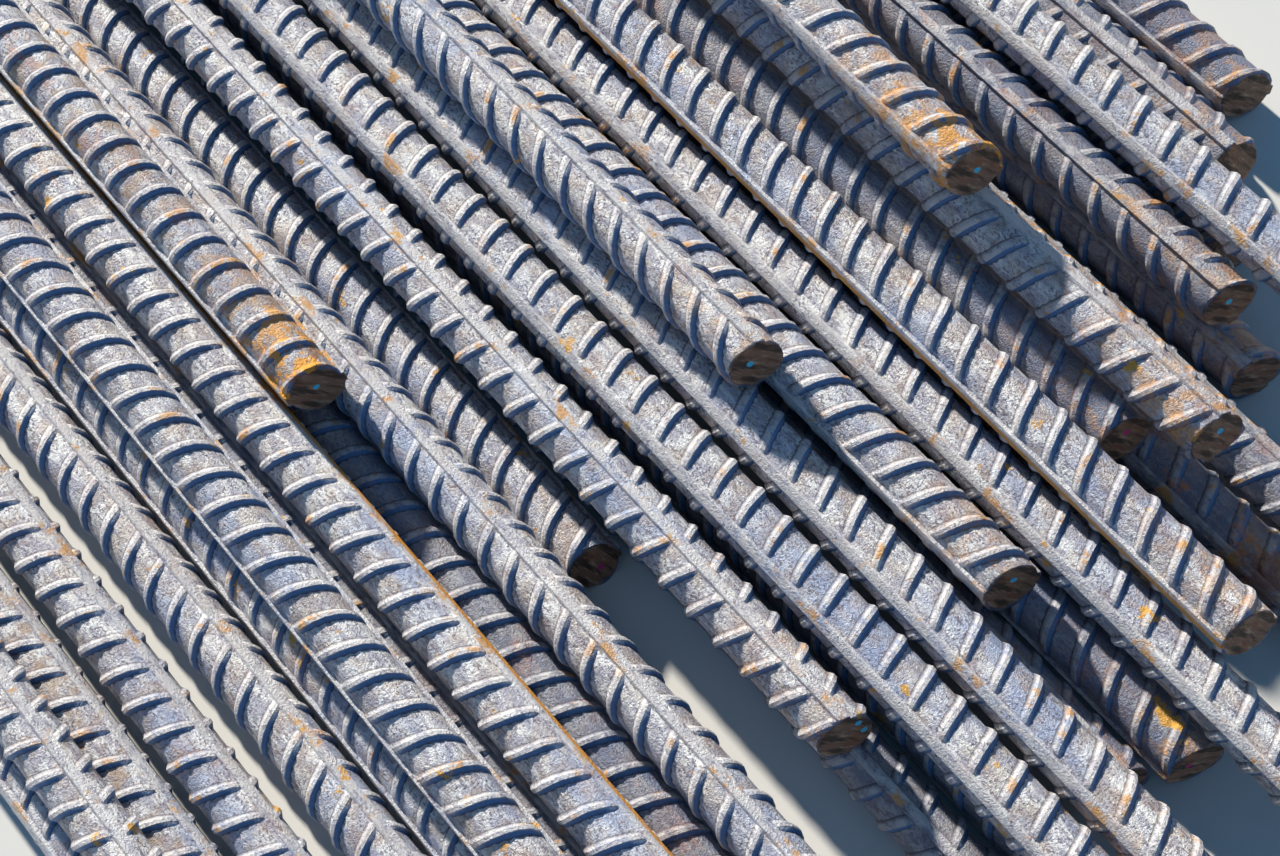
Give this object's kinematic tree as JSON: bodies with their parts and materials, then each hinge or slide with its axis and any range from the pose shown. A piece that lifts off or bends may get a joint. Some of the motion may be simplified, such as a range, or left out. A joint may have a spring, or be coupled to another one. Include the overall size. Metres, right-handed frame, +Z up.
{
  "type": "rebar bundle",
  "caption": "Loose bundle of straight ribbed steel reinforcing bars with sheared, staggered ends, lying on each other on the floor.",
  "frame": {"origin": "Middle of the bundle's footprint, on the floor.", "axes": "+X along the bars towards their near ends, +Y across the bundle, +Z up."},
  "size_m": [3.5592, 0.789, 0.1288],
  "materials": {
    "bar_steel": "hot-rolled, matt grey mill scale with tan dust and rust spots"
  },
  "bodies": {
    "root": {"lower_bar_01": "bar_steel", "lower_bar_02": "bar_steel", "lower_bar_03": "bar_steel", "lower_bar_04": "bar_steel", "lower_bar_05": "bar_steel", "lower_bar_06": "bar_steel", "lower_bar_07": "bar_steel", "lower_bar_08": "bar_steel", "lower_bar_09": "bar_steel", "lower_bar_10": "bar_steel", "lower_bar_11": "bar_steel", "lower_bar_12": "bar_steel", "lower_bar_13": "bar_steel", "lower_bar_14": "bar_steel", "lower_bar_15": "bar_steel", "lower_bar_16": "bar_steel", "lower_bar_17": "bar_steel", "lower_bar_18": "bar_steel", "lower_bar_19": "bar_steel", "middle_bar_01": "bar_steel", "middle_bar_02": "bar_steel", "middle_bar_03": "bar_steel", "middle_bar_04": "bar_steel", "middle_bar_05": "bar_steel", "middle_bar_06": "bar_steel", "middle_bar_07": "bar_steel", "middle_bar_08": "bar_steel", "middle_bar_09": "bar_steel", "middle_bar_10": "bar_steel", "middle_bar_11": "bar_steel", "middle_bar_12": "bar_steel", "upper_bar_1": "bar_steel", "upper_bar_2": "bar_steel", "upper_bar_3": "bar_steel", "upper_bar_4": "bar_steel", "upper_bar_5": "bar_steel", "top_bar": "bar_steel"}
  },
  "joints": []
}
